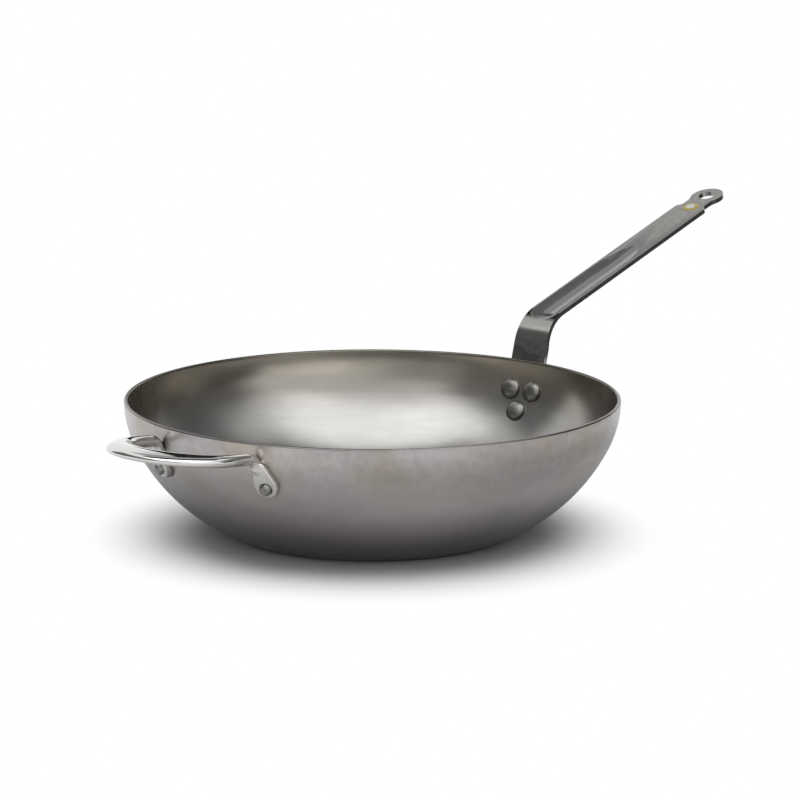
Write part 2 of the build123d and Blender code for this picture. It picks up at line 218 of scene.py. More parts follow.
# Shared surface effects
middleValues = (0.3, 0.7)       # where most of a noise's values lie
effects = {
    "wideRings": (0.12, 0.5, 0.5),      # scale of their noise against the fine one's: lower is wider
    "wornEdges": (0.51, 0.6),           # pointiness where the wear starts and where it is full
    "wearBreaks": (0.35, 0.65),
    "scratchStretch": (1.0, 0.12, 1.0),
    "scratchLines": (0.66, 0.74),       # values of the noise that show as scratches
}


def buildSpunGrain(s):
    # rings left by spinning: fine along the profile, long round the axis
    group, source, target = newGroup(
        "spunGrain", {"Place": None, "Along": 0.0, "RingWidth": 0.8 * mm, "Stretch": 6.0},
        ("Height", "Shade"))
    x, y = splitVector(group, source["Place"])[:2]
    radius = maths(group, "SQRT", maths(group, "ADD", product(group, x, x), product(group, y, y)))
    across = maths(group, "DIVIDE", source["Along"], source["RingWidth"])
    turnX = product(group, maths(group, "DIVIDE", x, radius), source["Stretch"])
    turnY = product(group, maths(group, "DIVIDE", y, radius), source["Stretch"])
    place = joinVector(group, across, turnX, turnY)
    fine = noise(group, place, scale=1.0, detail=2.0, roughness=0.6)
    wide = noise(group, scaled(group, place, s["wideRings"]), scale=1.0, detail=2.0, roughness=0.5)
    put(group, target["Height"], fine)
    put(group, target["Shade"], product(group, maths(group, "ADD", fine, wide), 0.5))
    return group


def buildEdgeWear(s):
    # brighter metal where an outer edge has been handled, at half strength where it is broken
    group, source, target = newGroup("edgeWear", {"Place": None, "Amount": 1.0, "Grain": 400.0}, ("Mask",))
    pointiness = addNode(group, "ShaderNodeNewGeometry").outputs["Pointiness"]
    edge = mapRange(group, pointiness, *s["wornEdges"])
    breaks = noise(group, source["Place"], source["Grain"], detail=3.0)
    broken = mapRange(group, breaks, *s["wearBreaks"], 0.5, 1)
    put(group, target["Mask"], product(group, edge, broken, source["Amount"]))
    return group


def buildHandlingMarks(s):
    # soft blotches and short scratches
    group, source, target = newGroup(
        "handlingMarks", {"Place": None, "BlotchSize": 30 * mm, "ScratchSize": 4 * mm},
        ("Blotch", "Scratch"))
    blotchScale = maths(group, "DIVIDE", 1.0, source["BlotchSize"])
    scratchScale = maths(group, "DIVIDE", 1.0, source["ScratchSize"])
    put(group, target["Blotch"], noise(group, source["Place"], blotchScale, detail=4.0, roughness=0.6))
    streak = noise(group, scaled(group, source["Place"], s["scratchStretch"]), scratchScale, detail=1.0)
    put(group, target["Scratch"], mapRange(group, streak, *s["scratchLines"]))
    return group


spunGrain = buildSpunGrain(effects)
edgeWear = buildEdgeWear(effects)
handlingMarks = buildHandlingMarks(effects)


# Materials
def newMaterial(name, metallic=1.0):
    material = bpy.data.materials.new(name)
    material.use_nodes = True
    tree = material.node_tree
    shader = tree.nodes["Principled BSDF"]
    shader.inputs["Metallic"].default_value = metallic
    return material, tree, shader


def addBump(tree, shader, height, distance):
    bump = addNode(tree, "ShaderNodeBump")
    bump.inputs["Distance"].default_value = distance
    put(tree, bump.inputs["Height"], height)
    put(tree, shader.inputs["Normal"], bump.outputs["Normal"])


def drifting(tree, blotch, roughness, drift):
    # roughness that changes with the blotches, between two amounts on top of it
    low, high = drift
    return mapRange(tree, blotch, *middleValues, roughness + low, roughness + high)


def evenly(share):
    # limits of a shade that is lighter and darker than 1 by the same share
    return 1 - share, 1 + share


def lighter(colour, share):
    return tuple(c * (1 + share) for c in colour[:3]) + (1,)


# The denoiser treats roughness below about 0.27 in another way, and a face that crosses it shows
# crackle lines: the inside with its drift stays below it and the outside above
bowlSteelLook = {
    "outside": (0.43, 0.413, 0.409, 1),
    "inside": (0.350, 0.345, 0.333, 1),
    "sideBlend": 1.5 * mm,      # to each side of the rim's top
    "straw": (0.40, 0.34, 0.25, 1),
    "olive": (0.375, 0.347, 0.298, 1),
    # painted shade near the base outside, standing in for the floor's shadow that the steel reflects
    "paintedBaseShade": (0.26, 0.247, 0.240, 1),
    "bareEdge": (0.62, 0.61, 0.59, 1),
    "ringWidth": 0.8 * mm,
    "ringStretch": 6.0,         # a higher value makes them shorter round the bowl
    "ringShade": 0.035,         # how much lighter and darker the rings are
    "wearShare": 0.12,
    "paintedRimShade": 0.5,            # painted shade on the rim, for the dark that its top and inner round reflect, against the faces beside it
    "rimMiddle": 0.45 * mm,     # middle of that darker band, inwards from the top of the rim
    "rimBand": (1.65 * mm, 2.2 * mm),           # from its middle to where it starts to fade and ends
    "strawShare": 0.45,
    "strawBlotches": (0.42, 0.62),
    "blotchSize": 50 * mm,
    "mottleSize": 6 * mm,
    "mottleValues": (0.35, 0.65),
    "mottleShade": 0.06,
    "cloudSize": 70 * mm,
    "cloudStretch": (1, 1, 2.5),
    "cloudShade": 0.09,
    "strawHeights": (35 * mm, 80 * mm),
    "oliveHeights": (45 * mm, 80 * mm),         # inside, towards the rim
    "baseShadeHeights": (50 * mm, 8 * mm),           # painted shade outside, towards the base, for the floor's shadow that it reflects
    "outsideRoughness": 0.30,
    "insideRoughness": 0.235,
    "roughnessDrift": (-0.02, 0.03),
    "bump": 0.005 * mm,
}


def bowlColour(tree, look, inside, height, blotch):
    # painted shade towards the base outside, warmer towards the rim, with straw blotches outside
    inner = mixColours(tree, mapRange(tree, height, *look["oliveHeights"]), look["inside"], look["olive"])
    # painted shade blended in towards the base outside
    outer = mixColours(tree, mapRange(tree, height, *look["baseShadeHeights"]), look["outside"], look["paintedBaseShade"])
    straw = product(tree, mapRange(tree, blotch, *look["strawBlotches"]),
                    mapRange(tree, height, *look["strawHeights"]),
                    mapRange(tree, inside, 0, 1, look["strawShare"], 0))
    return mixColours(tree, straw, mixColours(tree, inside, outer, inner), look["straw"])


def bowlShade(tree, look, place, inside, height):
    # wide clouds all over, and a fine mottle high up outside
    stretched = scaled(tree, place, look["cloudStretch"])
    cloud = noise(tree, stretched, 1 / look["cloudSize"], detail=3.0, roughness=0.55)
    clouds = mapRange(tree, cloud, *middleValues, *evenly(look["cloudShade"]))
    speckle = noise(tree, place, 1 / look["mottleSize"], detail=4.0, roughness=0.65)
    mottle = mapRange(tree, speckle, *look["mottleValues"], *evenly(look["mottleShade"]))
    outside = maths(tree, "SUBTRACT", 1, inside)
    strength = product(tree, mapRange(tree, height, *look["strawHeights"]), outside)
    return product(tree, clouds, maths(tree, "POWER", mottle, strength))


def makeBowlSteel(look, rimLength):
    material, tree, shader = newMaterial("spunCarbonSteel")
    place = objectPlace(tree)
    height = splitVector(tree, place)[2]
    along = addNode(tree, "ShaderNodeAttribute", attribute_name="along").outputs["Fac"]
    inside = mapRange(tree, along, rimLength - look["sideBlend"], rimLength + look["sideBlend"])
    grain = useGroup(tree, spunGrain, Place=place, Along=along,
                     RingWidth=look["ringWidth"], Stretch=look["ringStretch"])
    blotch = useGroup(tree, handlingMarks, Place=place, BlotchSize=look["blotchSize"])["Blotch"]
    worn = useGroup(tree, edgeWear, Place=place)["Mask"]
    rings = mapRange(tree, grain["Shade"], *middleValues, *evenly(look["ringShade"]), smooth=False)
    # painted shade in a band over the rim's top and inner round
    fromBand = maths(tree, "ABSOLUTE", maths(tree, "SUBTRACT", along, rimLength + look["rimMiddle"]))
    rim = mapRange(tree, fromBand, *look["rimBand"], look["paintedRimShade"], 1)
    shade = product(tree, rings, rim, bowlShade(tree, look, place, inside, height))
    colour = bowlColour(tree, look, inside, height, blotch)
    colour = mixColours(tree, 1.0, colour, greyColour(tree, shade), "MULTIPLY")
    colour = mixColours(tree, product(tree, worn, look["wearShare"]), colour, look["bareEdge"])
    put(tree, shader.inputs["Base Color"], colour)
    rough = mapRange(tree, inside, 0, 1, look["outsideRoughness"], look["insideRoughness"])
    rough = maths(tree, "ADD", rough, drifting(tree, blotch, 0, look["roughnessDrift"]))
    put(tree, shader.inputs["Roughness"], rough)
    addBump(tree, shader, grain["Height"], look["bump"])
    return material


strapLook = {
    "coat": (0.215, 0.212, 0.204, 1),
    "bareEdge": (0.46, 0.45, 0.43, 1),
    "edgeWear": 0.7,
    "roughness": 0.15,
    "roughnessDrift": (-0.02, 0.04),
    "unevenness": 0.12,         # how much lighter the coat is in its blotches
    "blotchSize": 12 * mm,
    "scratchSize": 3 * mm,
    "scratchShare": 0.06,
    "bendHighlight": 0.6,            # painted highlight: how much lighter the bend is where it faces up and towards the bowl
    "highlightFaces": (0.25, 0.36, 0.80, 0.90),      # upward part of the normal where the painted highlight starts and ends
    "bowlFaces": (-0.6, -0.3),                  # the same for its part along X: only what faces the bowl
    "gritScale": 1500,
    "gritHeight": 0.0015 * mm,
}


def paintedBendHighlight(tree, look):
    # painted highlight on the bend: its faces that look up and towards the bowl
    x, y, up = splitVector(tree, addNode(tree, "ShaderNodeNewGeometry").outputs["Normal"])
    start, full, less, end = look["highlightFaces"]
    return product(tree, mapRange(tree, up, start, full), mapRange(tree, up, less, end, 1, 0),
                   mapRange(tree, x, *look["bowlFaces"], 1, 0))


def makeStrapCoat(look):
    material, tree, shader = newMaterial("darkStrapSteel")
    place = objectPlace(tree)
    marks = useGroup(tree, handlingMarks, Place=place,
                     BlotchSize=look["blotchSize"], ScratchSize=look["scratchSize"])
    worn = useGroup(tree, edgeWear, Place=place, Amount=look["edgeWear"])["Mask"]
    colour = mixColours(tree, mapRange(tree, marks["Blotch"], *middleValues), look["coat"],
                        lighter(look["coat"], look["unevenness"]))
    # painted highlight over the bend
    colour = mixColours(tree, paintedBendHighlight(tree, look), colour, lighter(look["coat"], look["bendHighlight"]))
    scratched = product(tree, marks["Scratch"], look["scratchShare"])
    colour = mixColours(tree, scratched, colour, look["bareEdge"])
    colour = mixColours(tree, worn, colour, look["bareEdge"])
    put(tree, shader.inputs["Base Color"], colour)
    rough = drifting(tree, marks["Blotch"], look["roughness"], look["roughnessDrift"])
    put(tree, shader.inputs["Roughness"], rough)
    grit = noise(tree, place, look["gritScale"], detail=3.0, roughness=0.6)
    addBump(tree, shader, grit, look["gritHeight"])
    return material


rivetLook = {
    "scratch": (0.6, 0.6, 0.58, 1),
    "scratchSize": 1.5 * mm,
    "scratchShare": 0.3,
    "bareEdge": (0.6, 0.59, 0.57, 1),
    "edgeWear": 0.5,
    "wearGrain": 1500,
    "blotchSize": 4 * mm,
    "unevenness": -0.22,        # darker in its blotches
    "roughnessDrift": (-0.05, 0.08),
    "pitScale": 1800,
    "pitDepth": 0.012 * mm,
}


def makeRivetSteel(look, name, colour, roughness):
    material, tree, shader = newMaterial(name)
    place = objectPlace(tree)
    marks = useGroup(tree, handlingMarks, Place=place,
                     BlotchSize=look["blotchSize"], ScratchSize=look["scratchSize"])
    worn = useGroup(tree, edgeWear, Place=place, Amount=look["edgeWear"], Grain=look["wearGrain"])["Mask"]
    shade = mixColours(tree, mapRange(tree, marks["Blotch"], *middleValues), colour,
                       lighter(colour, look["unevenness"]))
    scratched = product(tree, marks["Scratch"], look["scratchShare"])
    shade = mixColours(tree, scratched, shade, look["scratch"])
    shade = mixColours(tree, worn, shade, look["bareEdge"])
    put(tree, shader.inputs["Base Color"], shade)
    rough = drifting(tree, marks["Blotch"], roughness, look["roughnessDrift"])
    put(tree, shader.inputs["Roughness"], rough)
    pits = noise(tree, place, look["pitScale"], detail=3.0, roughness=0.65)
    addBump(tree, shader, pits, look["pitDepth"])
    return material


castLook = {
    "colour": (0.74, 0.73, 0.715, 1),
    "castSkin": (0.60, 0.59, 0.575, 1),
    "dull": (0.5, 0.49, 0.47, 1),
    "dullShare": 0.2,
    "dullBlotches": (0.35, 0.7),
    "blotchSize": 12 * mm,
    "scratchSize": 1.2 * mm,
    "polishedRoughness": 0.06,
    "castRoughness": 0.22,
    "scratchRoughness": 0.08,           # on top of the others
    "polishEnds": (-0.162, -0.152),     # X where the polish gives way to the cast skin
    "pitScale": 900,
    "pitDepth": 0.04 * mm,
}


def makeCastSteel(look):
    material, tree, shader = newMaterial("castStainless")
    place = objectPlace(tree)
    skin = mapRange(tree, splitVector(tree, place)[0], *look["polishEnds"])
    marks = useGroup(tree, handlingMarks, Place=place,
                     BlotchSize=look["blotchSize"], ScratchSize=look["scratchSize"])
    colour = mixColours(tree, skin, look["colour"], look["castSkin"])
    dull = mapRange(tree, marks["Blotch"], *look["dullBlotches"], 0, look["dullShare"])
    put(tree, shader.inputs["Base Color"], mixColours(tree, dull, colour, look["dull"]))
    rough = mapRange(tree, skin, 0, 1, look["polishedRoughness"], look["castRoughness"])
    rough = maths(tree, "ADD", rough, product(tree, marks["Scratch"], look["scratchRoughness"]))
    put(tree, shader.inputs["Roughness"], rough)
    pits = noise(tree, place, look["pitScale"], detail=4.0, roughness=0.65)
    addBump(tree, shader, product(tree, pits, skin), look["pitDepth"])
    return material


badgeLook = {
    "ring": (0.55, 0.42, 0.03, 1),
    "speck": (0.36, 0.28, 0.03, 1),
    "speckScale": 3000,
    "speckValues": (0.4, 0.7),
    "speckShare": 0.15,
    # painted reflection of a softbox: a white patch in the middle of the dome
    "paintedGlare": (0.86, 0.85, 0.80, 1),
    "glareRadius": 3.4 * mm,
    "glareBlur": 0.5 * mm,
    "glareWave": 0.5 * mm,       # how far its edge wanders
    "glareWaveScale": 260,
    "roughness": (0.25, 0.4),   # plain and in the specks
    "coat": 0.3,
    "coatRoughness": 0.08,
    "ripple": 0.03 * mm,
    "rippleScale": 700,
}


def makeEnamel(look, centre):
    material, tree, shader = newMaterial("yellowEnamel", metallic=0.0)
    place = objectPlace(tree)
    # painted reflection: a white patch with a wandering edge round the button's middle
    wave = product(tree, noise(tree, place, look["glareWaveScale"]), look["glareWave"])
    reach = maths(tree, "ADD", distanceFrom(tree, place, centre), wave)
    paintedGlare = mapRange(tree, reach, look["glareRadius"], look["glareRadius"] + look["glareBlur"], 1, 0)
    specks = noise(tree, place, look["speckScale"], detail=3.0)
    speck = mapRange(tree, specks, *look["speckValues"], 0, look["speckShare"])
    yellow = mixColours(tree, speck, look["ring"], look["speck"])
    put(tree, shader.inputs["Base Color"], mixColours(tree, paintedGlare, yellow, look["paintedGlare"]))
    put(tree, shader.inputs["Roughness"], mapRange(tree, speck, 0, look["speckShare"], *look["roughness"]))
    shader.inputs["Coat Weight"].default_value = look["coat"]
    shader.inputs["Coat Roughness"].default_value = look["coatRoughness"]
    addBump(tree, shader, noise(tree, place, look["rippleScale"]), look["ripple"])
    return material


print("Materials ready")


# Geometry Nodes: a profile spun round an axis, once for the bowl and many times for rivets
def newGeometryTree(name, inputs):
    tree = bpy.data.node_groups.new(name, "GeometryNodeTree")
    for socketName, kind, default in inputs:
        socket = tree.interface.new_socket(socketName, in_out="INPUT", socket_type=kind)
        if default is not None:
            socket.default_value = default
    tree.interface.new_socket("Geometry", in_out="OUTPUT", socket_type="NodeSocketGeometry")
    return tree, tree.nodes.new("NodeGroupInput").outputs, tree.nodes.new("NodeGroupOutput").inputs


def spinNodes(tree, profile, steps):
    # a grid with one row for each profile point, wrapped round the Z axis
    count = addNode(tree, "GeometryNodeAttributeDomainSize", component="MESH")
    put(tree, count.inputs[0], profile)
    rows = count.outputs["Point Count"]
    grid = addNode(tree, "GeometryNodeMeshGrid")
    put(tree, grid.inputs["Vertices X"], maths(tree, "ADD", steps, 1))
    put(tree, grid.inputs["Vertices Y"], rows)
    index = addNode(tree, "GeometryNodeInputIndex").outputs[0]
    column = maths(tree, "FLOOR", maths(tree, "DIVIDE", maths(tree, "ADD", index, 0.5), rows))
    row = maths(tree, "SUBTRACT", index, maths(tree, "MULTIPLY", column, rows))
    point = addNode(tree, "GeometryNodeSampleIndex", data_type="FLOAT_VECTOR")
    put(tree, point.inputs["Geometry"], profile)
    put(tree, point.inputs["Value"], addNode(tree, "GeometryNodeInputPosition").outputs[0])
    put(tree, point.inputs["Index"], row)
    mark = addNode(tree, "GeometryNodeSampleIndex", data_type="FLOAT")
    put(tree, mark.inputs["Geometry"], profile)
    along = addNode(tree, "GeometryNodeInputNamedAttribute", data_type="FLOAT")
    along.inputs["Name"].default_value = "along"
    put(tree, mark.inputs["Value"], along.outputs["Attribute"])
    put(tree, mark.inputs["Index"], row)
    turned = addNode(tree, "ShaderNodeVectorRotate", rotation_type="Z_AXIS")
    put(tree, turned.inputs["Vector"], point.outputs[0])
    put(tree, turned.inputs["Angle"], maths(tree, "MULTIPLY", maths(tree, "DIVIDE", column, steps), 2 * pi))
    store = addNode(tree, "GeometryNodeStoreNamedAttribute", data_type="FLOAT", domain="POINT")
    put(tree, store.inputs["Geometry"], grid.outputs["Mesh"])
    store.inputs["Name"].default_value = "along"
    put(tree, store.inputs["Value"], mark.outputs[0])
    move = addNode(tree, "GeometryNodeSetPosition")
    put(tree, move.inputs["Geometry"], store.outputs[0])
    put(tree, move.inputs["Position"], turned.outputs[0])
    merge = addNode(tree, "GeometryNodeMergeByDistance")
    put(tree, merge.inputs["Geometry"], move.outputs[0])
    merge.inputs["Distance"].default_value = weldDistance
    return merge.outputs[0]


def finishNodes(tree, geometry, material, output):
    realize = addNode(tree, "GeometryNodeRealizeInstances")
    put(tree, realize.inputs[0], geometry)
    smooth = addNode(tree, "GeometryNodeSetShadeSmooth")
    put(tree, smooth.inputs["Geometry"], realize.outputs[0])
    paint = addNode(tree, "GeometryNodeSetMaterial")
    put(tree, paint.inputs["Geometry"], smooth.outputs[0])
    put(tree, paint.inputs["Material"], material)
    put(tree, output, paint.outputs[0])


def buildSpinTree():
    tree, source, target = newGeometryTree("spunProfile", [
        ("Geometry", "NodeSocketGeometry", None),
        ("Steps", "NodeSocketInt", 128),
        ("Material", "NodeSocketMaterial", None)])
    spun = spinNodes(tree, source["Geometry"], source["Steps"])
    finishNodes(tree, spun, source["Material"], target[0])
    return tree


def buildRivetTree():
    # one rivet at every seat, turned to face along the seat's stored direction
    tree, source, target = newGeometryTree("rivetsOnSeats", [
        ("Geometry", "NodeSocketGeometry", None),
        ("Profile", "NodeSocketObject", None),
        ("Steps", "NodeSocketInt", 64),
        ("Material", "NodeSocketMaterial", None)])
    shape = addNode(tree, "GeometryNodeObjectInfo")
    put(tree, shape.inputs["Object"], source["Profile"])
    rivet = spinNodes(tree, shape.outputs["Geometry"], source["Steps"])
    outward = addNode(tree, "GeometryNodeInputNamedAttribute", data_type="FLOAT_VECTOR")
    outward.inputs["Name"].default_value = "outward"
    turn = addNode(tree, "FunctionNodeAlignRotationToVector", axis="Z")
    put(tree, turn.inputs["Vector"], outward.outputs["Attribute"])
    place = addNode(tree, "GeometryNodeInstanceOnPoints")
    put(tree, place.inputs["Points"], source["Geometry"])
    put(tree, place.inputs["Instance"], rivet)
    put(tree, place.inputs["Rotation"], turn.outputs[0])
    finishNodes(tree, place.outputs[0], source["Material"], target[0])
    return tree


spinTree = buildSpinTree()
rivetTree = buildRivetTree()


def setInput(modifier, name, value):
    for item in modifier.node_group.interface.items_tree:
        if item.item_type == "SOCKET" and item.in_out == "INPUT" and item.name == name:
            modifier[item.identifier] = value


def evaluated(helper):
    # the plain mesh of a helper object with its modifiers applied
    shaped = helper.evaluated_get(bpy.context.evaluated_depsgraph_get())
    mesh = bpy.data.meshes.new_from_object(shaped)
    bpy.data.objects.remove(helper)
    return mesh


def runTree(helper, tree, **values):
    # the plain mesh that a geometry tree makes from a helper object
    modifier = helper.modifiers.new("shape", "NODES")
    modifier.node_group = tree
    for name, value in values.items():
        setInput(modifier, name, value)
    bpy.context.view_layer.update()
    return evaluated(helper)


def makePiece(name, mesh, node):
    # a finished piece that stands for a node of the frame
    mesh.name = name
    piece = addObject(name, mesh)
    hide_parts(node)
    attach(piece, "root")


def lengthsAlong(points):
    # distance of every point of a profile from its first one
    lengths = [0.0]
    for (r0, z0), (r1, z1) in zip(points, points[1:]):
        lengths.append(lengths[-1] + hypot(r1 - r0, z1 - z0))
    return lengths


def profileObject(name, points):
    # points are (radius, height); each keeps its distance along the profile
    mesh = bpy.data.meshes.new(name)
    edges = [(i, i + 1) for i in range(len(points) - 1)]
    mesh.from_pydata([(r, 0, z) for r, z in points], edges, [])
    along = mesh.attributes.new("along", "FLOAT", "POINT")
    for item, length in zip(along.data, lengthsAlong(points)):
        item.value = length
    return addObject(name, mesh)


def outwardNormals(mesh):
    work = bmesh.new()
    work.from_mesh(mesh)
    bmesh.ops.recalc_face_normals(work, faces=work.faces)
    work.to_mesh(mesh)
    work.free()


# Bowl: three arcs, a flat base, a rounded rim and the same again inside
bowl = {
    "sheet": 2.5 * mm,
    "baseRadius": 90 * mm,
    "knuckle": 5 * mm,
    "wallRadius": 122 * mm,
    "flareRadius": 66 * mm,
    "rimRound": 1.1 * mm,
    "steps": 256,
    "arcSteps": (6, 34, 26),
    "rimSteps": 6,
}
bowlLow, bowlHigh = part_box("wok_body")
bowl["rimRadius"] = (bowlHigh[1] - bowlLow[1]) / 2
bowl["height"] = bowlHigh[2]


def arcPoint(centre, radius, angle):
    return (centre[0] + radius * sin(angle), centre[1] - radius * cos(angle))


def bowlArcs(b):
    # centre, radius and end angles, from straight down, of the knuckle, the wall and the flare
    knuckle = (b["baseRadius"], b["knuckle"])
    flare = (b["rimRadius"] - b["flareRadius"], b["height"])
    first = b["wallRadius"] - b["knuckle"]
    second = b["wallRadius"] - b["flareRadius"]
    dx, dz = flare[0] - knuckle[0], flare[1] - knuckle[1]
    gap = hypot(dx, dz)
    along = (first**2 - second**2 + gap**2) / (2 * gap)
    across = sqrt(first**2 - along**2)
    wall = (knuckle[0] + (dx * along - dz * across) / gap, knuckle[1] + (dz * along + dx * across) / gap)
    low = atan2(knuckle[0] - wall[0], wall[1] - knuckle[1])
    high = atan2(flare[0] - wall[0], wall[1] - flare[1])
    return (
        (knuckle, b["knuckle"], 0, low),
        (wall, b["wallRadius"], low, high),
        (flare, b["flareRadius"], high, pi / 2),
    )


def bowlFace(b, offset):
    # points of one face from the knuckle to the rim, a distance outside the outer face
    points = []
    for (centre, radius, start, end), steps in zip(bowlArcs(b), b["arcSteps"]):
        for i in range(steps):
            points.append(arcPoint(centre, radius + offset, start + (end - start) * i / steps))
    return points


def rimPoints(b):
    # two quarter rounds with the rest of the sheet's thickness between them
    outer = b["rimRadius"] - b["rimRound"]
    inner = b["rimRadius"] - b["sheet"] + b["rimRound"]
    points = []
    for x, start in ((outer, 0), (inner, pi / 2)):
        for i in range(b["rimSteps"] + 1):
            angle = start + pi / 2 * i / b["rimSteps"]
            points.append((x + b["rimRound"] * cos(angle), b["height"] - b["rimRound"] * (1 - sin(angle))))
    return points


def bowlProfile(b):
    # the outline and the number of its point at the top of the rim
    outer = bowlFace(b, 0)
    inner = bowlFace(b, -b["sheet"])
    points = [(0, 0), *outer, *rimPoints(b), *reversed(inner), (0, b["sheet"])]
    return points, 1 + len(outer) + b["rimSteps"]


def wallPoint(b, height):
    # radius of the outer face and its outward direction at a height
    for centre, radius, start, end in reversed(bowlArcs(b)):
        if height >= arcPoint(centre, radius, start)[1]:
            break
    angle = atan2(sqrt(radius**2 - (centre[1] - height) ** 2), centre[1] - height)
    return arcPoint(centre, radius, angle)[0], angle


points, rimTop = bowlProfile(bowl)
bowlSteel = makeBowlSteel(bowlSteelLook, lengthsAlong(points)[rimTop])
bowlMesh = runTree(profileObject("bowlProfile", points), spinTree, Steps=bowl["steps"], Material=bowlSteel)
outwardNormals(bowlMesh)
makePiece("spunBowl", bowlMesh, "wok_body")
print("Bowl spun:", len(bowlMesh.polygons), "faces")


# Rivets: what all five share, then what differs between the handles
rivetShape = {
    "head": 14 * mm,
    "headHeight": 3.2 * mm,
    "headEdge": 0.5 * mm,       # height of the edge round the dome
    "headRound": 0.2 * mm,
    "domePower": 0.85,          # a lower value makes the dome fuller
    "domeSteps": 14,
    "seatGap": 0.4 * mm,        # from the curved wall to the middle of a head's flat underside
    "chamfer": 0.9 * mm,
    "chamferRound": 0.1 * mm,
    "endRound": 0.25 * mm,
    "endSteps": 4,
    "steps": 72,
}
strapRivets = {
    "upperDrop": 20.8 * mm,
    "lowerDrop": 34.3 * mm,
    "spacing": 18.5 * mm,
    "shank": 8 * mm,
    "stub": 5.1 * mm,           # how far the shank reaches past the bowl's outer face
    "colour": (0.24, 0.235, 0.225, 1),
    "roughness": 0.32,
}
loopRivets = {
    "drop": 26.8 * mm,
    "spacing": 87.0 * mm,
    "shank": 7.6 * mm,
    "stub": 6.8 * mm,
    "colour": (0.30, 0.295, 0.285, 1),
    "roughness": 0.26,
}


def rivetProfile(s, shank, stub, sheet):
    # from the middle of the stub's end, down the shank, round the head to its crown
    seat = -sheet - s["seatGap"]
    head = s["head"] / 2
    flatEnd = shank - s["chamfer"] - s["endRound"]
    points = [(0, stub)]
    for i in range(s["endSteps"] + 1):
        turn = pi / 2 * i / s["endSteps"]
        points.append((flatEnd + s["endRound"] * sin(turn), stub - s["endRound"] * (1 - cos(turn))))
    foot = stub - s["chamfer"]
    points += [
        (shank - s["chamferRound"], foot + s["chamferRound"]),
        (shank, foot - s["chamferRound"]),
        (shank, seat),
        (head - s["headRound"], seat),
        (head, seat - s["headRound"]),
    ]
    dome = s["headHeight"] - s["headEdge"]
    for i in range(s["domeSteps"]):
        turn = pi / 2 * i / s["domeSteps"]
        points.append((head * cos(turn) ** s["domePower"], seat - s["headEdge"] - dome * sin(turn)))
    points.append((0, seat - s["headHeight"]))
    return points


def seatMesh(name, seats):
    # seats are (height, angle round the bowl from +X)
    mesh = bpy.data.meshes.new(name)
    places, directions = [], []
    for height, azimuth in seats:
        radius, angle = wallPoint(bowl, height)
        places.append((radius * cos(azimuth), radius * sin(azimuth), height))
        directions.append((sin(angle) * cos(azimuth), sin(angle) * sin(azimuth), -cos(angle)))
    mesh.from_pydata(places, [], [])
    outward = mesh.attributes.new("outward", "FLOAT_VECTOR", "POINT")
    for item, direction in zip(outward.data, directions):
        item.vector = direction
    return addObject(name, mesh)


def halfAngle(spacing, height):
    # from the middle of a pair of rivets to one of them, seen from above
    return asin(spacing / 2 / wallPoint(bowl, height)[0])


def makeRivets(name, node, steel, r, seats):
    points = rivetProfile(rivetShape, r["shank"] / 2, r["stub"], bowl["sheet"])
    profile = profileObject(name + "Profile", points)
    material = makeRivetSteel(rivetLook, steel, r["colour"], r["roughness"])
    mesh = runTree(seatMesh(name + "Seats", seats), rivetTree,
                   Profile=profile, Steps=rivetShape["steps"], Material=material)
    bpy.data.objects.remove(profile)
    outwardNormals(mesh)
    makePiece(name, mesh, node)
    print(name, "set:", len(mesh.polygons), "faces")


upperHeight = bowl["height"] - strapRivets["upperDrop"]
lowerHeight = bowl["height"] - strapRivets["lowerDrop"]
side = halfAngle(strapRivets["spacing"], upperHeight)
makeRivets("strapRivets", "handle_rivets", "darkRivetSteel", strapRivets,
           [(upperHeight, side), (upperHeight, -side), (lowerHeight, 0)])
loopHeight = bowl["height"] - loopRivets["drop"]
side = halfAngle(loopRivets["spacing"], loopHeight)
makeRivets("loopRivets", "helper_rivets", "upsetRivetSteel", loopRivets,
           [(loopHeight, pi + side), (loopHeight, pi - side)])


# Handles, taken from the frame's own solids
flatAngle = 0.05        # degrees between facets that become one face


def cleanCopy(node, name):
    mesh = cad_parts[node].data.copy()
    mesh.materials.clear()
    work = bmesh.new()
    work.from_mesh(mesh)
    bmesh.ops.remove_doubles(work, verts=work.verts, dist=weldDistance)
    bmesh.ops.dissolve_limit(work, angle_limit=radians(flatAngle), verts=work.verts, edges=work.edges)
    work.to_mesh(mesh)
    work.free()
    return addObject(name, mesh)


strap = {
    "edgeRound": 0.45 * mm,
    "edgeSteps": 3,
    "edgeAngle": 14,        # degrees from which an edge is rounded
    "flatness": 100,
}


def makeStrap(s):
    helper = cleanCopy("long_handle", "strapShape")
    bevel = helper.modifiers.new("edges", "BEVEL")
    bevel.width = s["edgeRound"]
    bevel.segments = s["edgeSteps"]
    bevel.limit_method = "ANGLE"
    bevel.angle_limit = radians(s["edgeAngle"])
    for polygon in helper.data.polygons:
        polygon.use_smooth = True
    helper.modifiers.new("flatFaces", "WEIGHTED_NORMAL").weight = s["flatness"]
    mesh = evaluated(helper)
    mesh.materials.append(makeStrapCoat(strapLook))
    makePiece("dishedStrap", mesh, "long_handle")
    print("Strap made:", len(mesh.polygons), "faces")


makeStrap(strap)

loop = {
    "voxel": 0.4 * mm,
    "softening": 0.5,       # strength of each pass
    "passes": 10,
}


